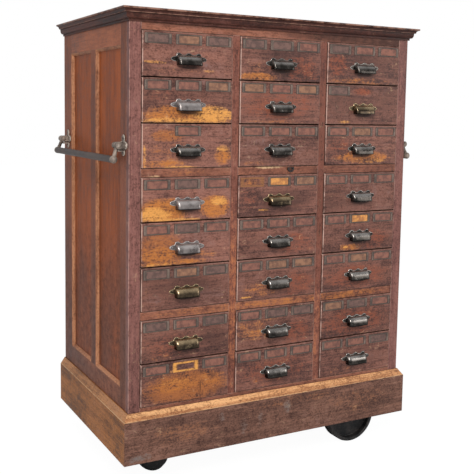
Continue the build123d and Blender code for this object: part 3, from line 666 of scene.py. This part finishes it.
def cup_pull(shape, x, z, y):
    """The cup pull: a plate with ears and a crest, a hollow rounded hood and two screws."""
    shape.slab(pull_outline(),
               lambda across, up, out: (x + across, y - out, z + ear_rise + up), 2.0, 1.5)
    across_steps, down_steps, wall = 26, 10, 1.8
    hood = []
    for inset in (0.0, wall):
        half, reach, height = 38.5 - inset, 22.0 - inset, 29.0 - inset
        crown = z + pull_rise - inset
        sheet = []
        for down in range(down_steps + 1):
            turn = pi / 2 * down / down_steps
            line = []
            for step in range(across_steps + 1):
                share = max(-1.0, min(1.0, -cos(pi * step / across_steps)))
                square_end = (1 - abs(share) ** 11) ** (1 / 3.6)
                round_end = (1 - abs(share) ** 12) ** (1 / 4.0)
                depth = reach * sin(turn) ** 0.86 * square_end
                drop = height * (1 - cos(turn) ** 1.12) + (1 - round_end) * 5.0 * cos(turn)
                line.append((x + half * share, y - depth, crown - drop))
            sheet.append(shape.corners(line))
        hood.append(sheet)
    outer, inner = hood
    # rubbed on the hood: high on its upper part (hand wear and a painted highlight), negative along its
    # lower edge (a painted shade).
    for down, line in enumerate(outer):
        for corner in line:
            corner[shape.rubbed] = cos(pi * down / down_steps - 0.9)
    for sheet in hood:
        for first, second in zip(sheet, sheet[1:]):
            for a, b, c, d in zip(first, first[1:], second[1:], second):
                shape.face([a, b, c, d])
    for a, b, c, d in zip(outer[-1], outer[-1][1:], inner[-1][1:], inner[-1]):
        shape.face([a, b, c, d], 1.0)
    for side in (-1, 1):
        shape.turned(dome(3.1, 1.5, 4), (x + side * 46.5, y - 2.0, z + ear_rise), (0, -1, 0), 14)


gone_pulls = {(8, 1)}
gone_labels = {(2, 3): (0, 1), (3, 1): (-1, 1), (4, 2): (-1,), (8, 1): (0,)}
ghosts = {(8, 1): (0, gold), (4, 2): (-1, (0.25, 0.105, 0.045))}
bright_pulls = {(2, 1), (4, 1), (5, 1)}
brass_pulls = {(2, 3), (4, 2), (6, 1), (7, 1)}
front_levels = {(4, 1): 1.25, (5, 1): 1.3, (8, 2): 1.1, (5, 2): 1.1, (1, 1): 1.1, (1, 2): 1.05,
                (3, 1): 1.25, (4, 2): 1.2, (8, 3): 1.05, (3, 3): 1.05, (2, 2): 1.05}
card_rows = (("dark tan dark", "dark dark red", "dark red red"),
             ("red red tan", "tan red tan", "dark red dark"),
             ("dark red dark", "red red red", "red tan red"),
             ("red dark red", "red orange tan", "red red red"),
             ("red dark red", "red red red", "red orange red"),
             ("dark tan dark", "red tan tan", "red tan red"),
             ("dark red dark", "red dark dark", "tan dark red"),
             ("red dark red", "red red red", "red red dark"))

# Marks are given as across, up, width, height and strength, from the corner of a front.
label_film = [(146, 112, 180, 26, 0.42)]
# A painted shadow: a dark band on every front just below its pull's hood.
pull_painted_shadow = [(149, 33, 39, 8, 1.0), (150, 31, 35, 5, 1.0)]
front_marks = {
    (1, 1): {film: [(220, 34, 60, 20, 0.6)], orange: [(120, 18, 120, 10, 0.35)],
        gold: [(42, 42, 46, 5, 0.7), (214, 22, 26, 5, 0.6)], soot_and_shadow: [(145, 108, 170, 30, 0.5)]},
    (1, 2): {red: [(220, 42, 80, 50, 0.7)], amber: [(60, 40, 50, 20, 0.5)],
        orange: [(60, 12, 80, 16, 0.8)], soot_and_shadow: [(160, 95, 110, 34, 0.5)]},
    (1, 3): {red: [(40, 60, 50, 50, 0.7)], orange: [(130, 8, 140, 16, 0.6)],
        soot_and_shadow: [(170, 70, 110, 40, 0.5)]},
    (2, 1): {red: [(50, 90, 60, 36, 0.5)], orange: [(140, 20, 170, 40, 0.9)],
        gold: [(225, 26, 80, 30, 1.0), (110, 6, 150, 12, 0.9)], soot_and_shadow: [(30, 70, 30, 30, 0.4)]},
    (2, 2): {red: [(140, 60, 170, 60, 0.7)], orange: [(120, 7, 130, 9, 0.5)],
        soot_and_shadow: [(150, 108, 150, 16, 0.35)]},
    (2, 3): {red: [(146, 110, 46, 14, 0.9)], gold: [(70, 10, 30, 6, 0.7)], soot_and_shadow: [(60, 66, 90, 60, 0.6),
        (240, 90, 50, 50, 0.5)]},
    (3, 1): {amber: [(80, 96, 60, 22, 0.9), (90, 50, 110, 34, 0.6)], orange: [(60, 14, 90, 14, 0.75),
        (262, 34, 34, 28, 0.8)], gold: [(10, 40, 6, 46, 0.7), (262, 58, 26, 12, 0.7),
        (120, 4, 60, 5, 0.8)]},
    (3, 2): {film: [(130, 60, 160, 60, 0.45)], orange: [(60, 12, 60, 9, 0.5)],
        soot_and_shadow: [(210, 100, 90, 30, 0.4)]},
    (3, 3): {red: [(60, 60, 70, 50, 0.6)], orange: [(150, 26, 120, 24, 0.8)],
        gold: [(190, 14, 70, 10, 0.6)]},
    (4, 1): {orange: [(70, 32, 90, 42, 1.0), (240, 40, 60, 40, 1.0)], gold: [(40, 22, 60, 26, 1.0),
        (252, 56, 34, 16, 0.9), (90, 4, 120, 8, 0.9)], soot_and_shadow: [(146, 48, 46, 26, 0.75)]},
    (4, 2): {red: [(40, 60, 46, 50, 0.5)], orange: [(49, 110, 44, 15, 0.6)],
        gold: [(92, 22, 24, 3.5, 0.9)], soot_and_shadow: [(180, 50, 120, 50, 0.6)]},
    (4, 3): {film: [(160, 60, 140, 50, 0.4)], soot_and_shadow: [(60, 40, 90, 40, 0.5)]},
    (5, 1): {film: [(190, 70, 100, 46, 0.5)], amber: [(60, 50, 90, 60, 0.9)],
        orange: [(60, 34, 80, 34, 0.75), (110, 9, 140, 12, 0.8), (200, 30, 60, 16, 0.6)],
        gold: [(60, 5, 70, 6, 0.7)]},
    (5, 2): {red: [(210, 40, 90, 40, 0.7)], soot_and_shadow: [(70, 50, 70, 40, 0.4)]},
    (5, 3): {red: [(200, 40, 80, 40, 0.7)], orange: [(110, 14, 60, 13, 0.7)],
        gold: [(92, 16, 12, 5, 0.8)], soot_and_shadow: [(150, 70, 90, 20, 0.3)]},
    (6, 1): {film: [(200, 40, 110, 30, 0.55), (40, 40, 40, 20, 0.5)], gold: [(18, 60, 6, 18, 0.5)],
        soot_and_shadow: [(146, 70, 170, 50, 0.55)]},
    (6, 2): {red: [(220, 40, 80, 50, 0.7)], orange: [(90, 34, 80, 30, 0.6)],
        gold: [(34, 13, 26, 3.5, 0.9)]},
    (6, 3): {red: [(140, 50, 160, 50, 0.75)], orange: [(110, 12, 60, 12, 0.4)]},
    (7, 1): {red: [(90, 50, 110, 44, 0.6)], orange: [(60, 14, 60, 8, 0.4)],
        soot_and_shadow: [(240, 66, 50, 40, 0.5)]},
    (7, 2): {red: [(220, 40, 80, 50, 0.7)], orange: [(70, 62, 80, 40, 0.6)],
        gold: [(120, 90, 40, 8, 0.5)]},
    (7, 3): {red: [(140, 50, 160, 60, 0.7)], orange: [(160, 36, 70, 16, 0.3)]},
    (8, 1): {amber: [(150, 46, 160, 56, 1.0)], orange: [(120, 56, 90, 26, 0.75),
        (230, 60, 60, 30, 0.6)], gold: [(110, 66, 60, 10, 0.5), (80, 100, 40, 8, 0.5)],
        soot_and_shadow: [(196, 40, 1.6, 24, 1.0), (262, 20, 30, 20, 0.5), (40, 30, 40, 20, 0.4)]},
    (8, 2): {red: [(140, 60, 160, 60, 0.6)], orange: [(90, 22, 60, 16, 0.35)]},
    (8, 3): {orange: [(90, 18, 60, 18, 0.4)], soot_and_shadow: [(200, 60, 90, 40, 0.4)]},
}


def front_patches(spot, x, z):
    """Worn and soiled places of one front, and the painted shadow under its pull, moved from its own
    corner to the case.
    """
    patches = []
    for tint in (film, red, amber, orange, gold, soot_and_shadow):
        marks = front_marks[spot].get(tint, [])
        if tint == film:
            marks = marks + label_film
        # Every front that keeps its pull gets the painted shadow below it.
        if tint == soot_and_shadow and spot not in gone_pulls:
            marks = marks + pull_painted_shadow
        if marks:
            patches.append((tint, [(x + mark[0], z + mark[1], *mark[2:]) for mark in marks]))
    return patches


def drawer_front(name, spot, x, z):
    """The front of a drawer, with its own wear and a left edge painted pale: partly rubbed wear, partly
    a painted highlight where the light catches it.
    """
    level = front_levels.get(spot, 0.95)
    light = tuple(level * part for part in (0.245, 0.103, 0.073))
    dark = tuple(level * part for part in (0.058, 0.027, 0.024))
    ghost = None
    if spot in ghosts:
        position, tint = ghosts[spot]
        ghost = x + opening_width / 2 + label_pitch * position, z + label_rise, tint
    row, column = spot
    worn = varnish("worn front " + name[7:], "x", light, dark, seed=row * 3.7 + column * 1.9,
                   wear=0.9, dirt=0.5, patches=front_patches(spot, x, z), edge_rub_and_highlight=pale_rub_and_highlight,
                   ghost=ghost)
    left_gap, right_gap, low_gap, high_gap = 1.5, 1.8, 2.3, 1.6
    left_edge, share_elsewhere = 4.0, 0.22
    front = Shape()
    front.board((x + left_gap, face_y, z + low_gap),
                (x + opening_width - right_gap, fronts_back, z + pitch - high_gap), arris=2.1)
    # Only the left edge keeps the full pale edge colour: wear, and a painted highlight on the side the
    # light comes from; the other edges keep a little.
    for flat in front.mesh.faces:
        if flat.calc_center_median().x > x + left_edge:
            flat[front.arris] *= share_elsewhere
    front.set_down(name + "_front", name, [worn], [name], "varnished_drawer")


def drawers():
    """Every drawer: its worn front, its box, its metalwork and the cards in its frames."""
    inside = timber("bare wood of the drawers", "y")
    rim = metal("dull label frames", (0.072, 0.047, 0.036), (0.16, 0.11, 0.086),
                (0.33, 0.245, 0.195), rough=0.55, metallic=0.0)
    # lip: a near-black painted shadow for the frames' outer edges and the sides of their lips.
    lip = metal("blackish frame edges", (0.02, 0.016, 0.014), (0.055, 0.04, 0.032),
                (0.12, 0.085, 0.06), rough=0.5, metallic=0.3, seed=1.0)
    gunmetal = metal("gunmetal pulls", (0.024, 0.021, 0.018), (0.066, 0.057, 0.05),
                     (0.34, 0.31, 0.285), 0.13, 0.9, seed=2.0, pitting=0.00003, edge=0.85)
    silvered = metal("rubbed bright pulls", (0.12, 0.1, 0.095), (0.24, 0.21, 0.2),
                     (0.48, 0.43, 0.41), 0.24, 0.8, seed=3.0, pitting=0.00005, edge=0.85)
    brassy = metal("brassy pulls", (0.034, 0.025, 0.017), (0.09, 0.063, 0.038),
                   (0.46, 0.33, 0.19), 0.13, 0.9, seed=4.0, pitting=0.00003, edge=0.85)
    card = {"dark": paper("dark card", (0.15, 0.078, 0.062), (0.085, 0.045, 0.037)),
            "red": paper("red-brown card", (0.235, 0.092, 0.062), (0.125, 0.05, 0.037), 1.0),
            "tan": paper("tan card", (0.27, 0.13, 0.072), (0.15, 0.068, 0.042), 2.0),
            "orange": paper("orange card", (0.62, 0.265, 0.065), (0.33, 0.13, 0.042), 3.0)}
    card_half, card_rise, card_thick = 32.6, 11.5, 0.9
    for spot in ((row, column) for row in row_low for column in column_left):
        row, column = spot
        x, z = column_left[column], row_low[row]
        name = f"drawer_r{row}_c{column}"
        drawer_front(name, spot, x, z)
        drawer_box(name, x, z, inside)
        fittings, papers, kinds = Shape(), Shape(), []
        middle = x + opening_width / 2
        for kind, position in zip(card_rows[row - 1][column - 1].split(), (-1, 0, 1)):
            if position in gone_labels.get(spot, ()):
                continue
            centre = middle + label_pitch * position
            label_holder(fittings, centre, z + label_rise, face_y)
            if card[kind] not in kinds:
                kinds.append(card[kind])
            papers.finish = kinds.index(card[kind])
            papers.board((centre - card_half, face_y - card_thick, z + label_rise - card_rise),
                         (centre + card_half, face_y, z + label_rise + card_rise), arris=0.3)
        fittings.finish = 2
        if spot not in gone_pulls:
            cup_pull(fittings, middle, z, face_y)
        pull = silvered if spot in bright_pulls else brassy if spot in brass_pulls else gunmetal
        fittings.set_down(name + "_fittings", name, [rim, lip, pull], [name], "grey_steel", 50)
        papers.set_down(name + "_labels", name, kinds, [name], "raw_timber")


# ---- iron


def rail_catch(iron):
    """A half-round keeper on the upper middle rail: a bent strap below a short bar."""
    shape = Shape()
    x, z = 42.0, row_low[3] - 6.0
    section = ((6.5, 0.0), (6.5, 4.2), (7.3, 5.0), (11.2, 5.0), (12.0, 4.2), (12.0, 0.0))
    rings = []
    for step in range(21):
        turn = pi + pi * step / 20
        rings.append([(x + out * cos(turn), front_y - off, z + out * sin(turn))
                      for out, off in section])
    shape.skin(rings)
    shape.board((x - 12, front_y - 5, z), (x + 12, front_y, z + 3), 0.7)
    shape.set_down("rail_catch_iron", "case", [iron], ["rail_catch"], "black_iron")


def lobed_outline():
    """The bracket plate's outline: a core with four round lobes."""
    points = []
    for step in range(72):
        turn = 2 * pi * step / 72
        way = Vector((cos(turn), sin(turn)))
        reach = 15.0
        for centre in ((0, 20), (0, -20), (17, 0), (-17, 0)):
            centre = Vector(centre)
            ahead = centre.dot(way)
            room = 121 - (centre.length_squared - ahead * ahead)
            if room > 0:
                reach = max(reach, ahead + sqrt(room))
        points.append((reach * cos(turn), reach * sin(turn)))
    return points


def mirrored(half):
    """A turned profile with two like halves, from one of them, its end face first."""
    return [(radius, -along) for radius, along in half] + half[::-1]


pivots = ((-260.0, -1), (279.0, 1))
pivot_out, foot_out, pivot_z, foot_z = 522.0, 536.0, 1033.0, 993.0


def lifting_bar(name, side, bar_steel, iron):
    """A round bar, worn slightly uneven, riveted to two forged arms."""
    pivot_x, foot_x = side * pivot_out, side * foot_out
    lift = Shape()
    lift.turned([(10.2, -270.0), (10.6, -262.0), (10.3, -200.0), (10.55, -90.0), (10.3, 0.0),
                 (10.6, 110.0), (10.3, 210.0), (10.6, 281.0), (10.2, 289.0)],
                (foot_x, 0, foot_z), (0, 1, 0), 28, capped=True)
    lift.finish = 1
    for y, outward in pivots:
        foot_y = y + outward * 10
        lift.turned(mirrored([(8.2, 6.7), (9.2, 6.2), (9.5, 5.2)]), (pivot_x, y, pivot_z),
                    (0, 1, 0), 26, capped=True)
        lift.turned(mirrored([(9.4, 5.0), (10.6, 4.4), (11.0, 3.4)]),
                    (foot_x, foot_y, foot_z), (0, 1, 0), 26, capped=True)
        lift.turned([(8.9, 0.0), (8.9, 0.6), (8.0, 2.4), (5.8, 4.0), (3.0, 4.8), (0.01, 5.0)],
                    (foot_x, foot_y + outward * 5, foot_z), (0, outward, 0), 22)
        down = Vector((foot_x - pivot_x, foot_y - y, foot_z - pivot_z))
        out = Vector((down.z, 0, -down.x)).normalized()
        rings = []
        for share, wide, thick in ((0.1, 6.2, 5.2), (0.28, 6.2, 5.4), (0.5, 5.8, 5.4),
                                   (0.75, 5.6, 6.0), (0.92, 5.4, 6.6)):
            middle = Vector((pivot_x, y, pivot_z)) + down * share
            turns = [2 * pi * step / 20 for step in range(20)]
            rings.append([middle + Vector((0, wide * cos(turn), 0)) + out * (thick * sin(turn))
                          for turn in turns])
        lift.skin(rings)
    lift.set_down(name + "_handle_worn", name + "_handle", [bar_steel, iron],
                  [name + "_handle"], "grey_steel", 45)


def ear_outline():
    """The outline of a hinge ear, as (out from the side, up), round at its end."""
    turns = [pi * step / 12 for step in range(1, 12)]
    return [(-0.5, 9.6), (22.0, 9.9),
            *((22 + 9.9 * sin(turn), 9.9 * cos(turn)) for turn in turns),
            (22.0, -9.9), (-0.5, -9.6)]


def hinge_brackets(name, side, iron):
    """Two lobed plates on a side, each with four rivets, two ears, a heel and a pin."""
    pivot_x = side * pivot_out
    plates = Shape()
    for y, _ in pivots:
        plates.slab(lobed_outline(), lambda across, up, out: (side * (half_width + out),
                                                              y + across, pivot_z + up), 4.0, 1.4)
        for across, up in ((0, 22.5), (0, -22.5), (19.5, 0), (-19.5, 0)):
            plates.turned(dome(4.2, 2.0, 4), (side * (half_width + 3.9), y + across,
                                              pivot_z + up), (side, 0, 0), 14)
        for ear in (-1, 1):
            near, far = y + ear * 7.0, y + ear * 17.0
            plates.skin([[(side * (half_width + max(0.4, out - ease * (out > 20))), place,
                           pivot_z + up * (1 - ease / 10)) for out, up in ear_outline()]
                         for place, ease in ((near, 0.7), (near + ear * 0.9, 0.0),
                                             (far - ear * 1.6, 0.0), (far, 1.4))])
            plates.turned(dome(6.9, 3.3, 5), (pivot_x, far, pivot_z), (0, ear, 0), 20)
        heel_near, heel_far = sorted((side * (half_width + 0.5), side * 520.6))
        plates.board((heel_near, y - 9.8, 1015.2), (heel_far, y + 9.8, 1021.8))
        plates.turned([(4.0, -7.0), (4.0, 7.0)], (pivot_x, y, pivot_z), (0, 1, 0), 20,
                      capped=True)
    plates.set_down(name + "_handle_plates", "case", [iron], [name + "_handle_brackets"],
                    "black_iron", 45)


def wheels(iron, tread):
    """The two large wheels and the two casters' wheels."""
    axle_x, axle_z = 337.0, 92.0
    for name, y, outward in (("wheel_front", -243.0, -1), ("wheel_back", 271.0, 1)):
        shape = Shape()
        shape.turned([(10.06, -22.5), (10.06, 22.5), (23.0, 22.5), (24.6, 21.6), (25.0, 20.0),
                      (25.6, 6.5), (28.0, 4.5), (76.0, 4.5), (78.6, 6.0), (79.0, 8.5),
                      (79.4, 20.6), (80.6, 22.3), (82.0, 22.5), (89.6, 22.5), (91.4, 21.7),
                      (92.0, 20.0), (92.0, -20.0), (91.4, -21.7), (89.6, -22.5),
                      (14.0, -22.5)], (axle_x, y, axle_z), (0, outward, 0), 72)
        shape.set_down(name + "_cast", name, [iron], [name], "black_iron", 40)
    caster_x, trail, caster_z = -354.5, 22.0, 52.0
    for place, y, turn in (("front", -184.5, -45.0), ("back", 193.0, 20.0)):
        way = radians(turn)
        shape = Shape()
        shape.turned(mirrored([(5.06, 15.0), (12.2, 15.0), (13.0, 14.2), (13.2, 12.6),
                               (15.0, 10.4), (40.0, 9.6), (43.0, 10.6), (44.0, 11.8),
                               (50.0, 12.0), (51.6, 11.2), (52.0, 9.6)]),
                     (caster_x - trail * cos(way), y - trail * sin(way), caster_z),
                     (-sin(way), cos(way), 0), 60)
        shape.set_down(f"caster_wheel_{place}_cast", f"caster_wheel_{place}", [tread],
                       [f"caster_wheel_{place}"], "black_iron", 40)


def ironwork():
    """All the iron below and beside the case."""
    iron = metal("blackish iron", (0.012, 0.012, 0.013), (0.04, 0.036, 0.035),
                 (0.11, 0.085, 0.07), 0.44, 0.6, seed=5.0, pitting=0.0012)
    tread = metal("worn caster iron", (0.012, 0.012, 0.012), (0.03, 0.029, 0.029),
                  (0.075, 0.068, 0.064), 0.4, 0.5, seed=6.0, pitting=0.001)
    bracket = metal("forged brackets", (0.075, 0.056, 0.045), (0.3, 0.235, 0.19),
                    (0.7, 0.6, 0.51), 0.46, 0.25, seed=7.0, pitting=0.0018)
    bar = metal("hand-worn bar", (0.046, 0.032, 0.028), (0.105, 0.078, 0.068),
                (0.24, 0.18, 0.155), 0.42, 0.45, seed=8.0, pitting=0.0008)
    rail_catch(iron)
    for name, side in (("left", -1), ("right", 1)):
        lifting_bar(name, side, bar, bracket)
        hinge_brackets(name, side, bracket)
    wheels(iron, tread)
    for node in ("axle", "axle_brackets", "caster_plates", "caster_fork_front",
                 "caster_fork_back"):
        dress(node, iron)


def carcass():
    """The boards that seldom show: back, partitions, runners, floor and beams."""
    upright = timber("bare wood, upright", "z", seed=1.0)
    level = timber("bare wood, level", "x", seed=2.0)
    deep = timber("bare wood, front to back", "y", seed=3.0)
    stained = timber("bare wood of the back", "z", (0.22, 0.115, 0.06), (0.115, 0.055, 0.03),
                     seed=4.0)
    for node, finish in (("back_frame", stained), ("back_panels", stained),
                         ("plinth_back", level), ("partitions", upright),
                         ("drawer_runners", deep), ("base_floor", level),
                         ("chassis_beams", deep)):
        dress(node, finish)


# ---- the studio


def studio():
    """A white floor and surround, a large soft lamp high on the left, a fill and the camera."""
    floor = Finish("white floor")
    seen = floor.node("ShaderNodeLightPath", {}, {}, "Is Camera Ray")
    plain = floor.node("ShaderNodeBsdfDiffuse", {}, {"Color": (0.86, 0.86, 0.86)})
    white = floor.node("ShaderNodeEmission", {}, {"Color": (1.0, 1.0, 1.0), "Strength": 1.04})
    blend = floor.node("ShaderNodeMixShader", {}, {0: seen * 0.93, 1: plain, 2: white})
    floor.node("ShaderNodeOutputMaterial", {}, {0: blend})
    mesh = bpy.data.meshes.new("floor")
    reach = 14.0
    mesh.from_pydata([(-reach, -reach, 0), (reach, -reach, 0), (reach, reach, 0),
                      (-reach, reach, 0)], [], [(0, 1, 2, 3)])
    mesh.materials.append(floor.material)
    ground = bpy.data.objects.new("floor", mesh)
    bpy.context.scene.collection.objects.link(ground)

    air = Finish("studio", bpy.data.worlds)
    direct, through = (air.node("ShaderNodeLightPath", {}, {}, ray)
                       for ray in ("Is Camera Ray", "Is Transmission Ray"))
    light = air.node("ShaderNodeBackground", {}, {0: (0.94, 0.97, 1.0), 1: 0.62})
    plain = air.node("ShaderNodeBackground", {}, {0: (1.0, 1.0, 1.0), 1: 1.0})
    blend = air.node("ShaderNodeMixShader", {},
                     {0: direct.highest(through), 1: light, 2: plain})
    air.node("ShaderNodeOutputWorld", {}, {0: blend})
    bpy.context.scene.world = air.material

    def lamp(name, place, target, size, power, colour):
        light = bpy.data.lights.new(name, "AREA")
        light.shape, light.size, light.energy, light.color = "DISK", size, power, colour
        made = bpy.data.objects.new(name, light)
        made.location = place
        made.rotation_euler = (Vector(target) - Vector(place)).to_track_quat("-Z", "Y").to_euler()
        bpy.context.scene.collection.objects.link(made)

    lamp("high soft lamp", (-1.9, -3.4, 3.3), (0, 0, 0.8), 1.6, 120.0, (1.0, 0.985, 0.96))
    lamp("right fill", (2.9, -2.6, 1.7), (0.1, 0, 0.7), 1.8, 34.0, (1.0, 0.98, 0.96))

    lens = bpy.data.cameras.new("portrait")
    lens.sensor_width, lens.lens = 36.0, 62.088
    lens.shift_x, lens.shift_y = -0.00873, -0.09434
    camera = bpy.data.objects.new("portrait", lens)
    right = Vector((0.87722428, -0.47977576, 0.01711074))
    up = Vector((0.03199063, 0.09397967, 0.99506001))
    back = Vector((-0.47901374, -0.87234342, 0.09778958))
    turn = Matrix((right, up, back)).transposed()
    camera.matrix_world = Matrix.Translation((-1.33677, -2.48942, 1.13436)) @ turn.to_4x4()
    bpy.context.scene.collection.objects.link(camera)
    bpy.context.scene.camera = camera


bpy.context.scene.view_settings.view_transform = "Standard"
face_frame()
mouldings()
sides()
top()
carcass()
drawers()
ironwork()
studio()
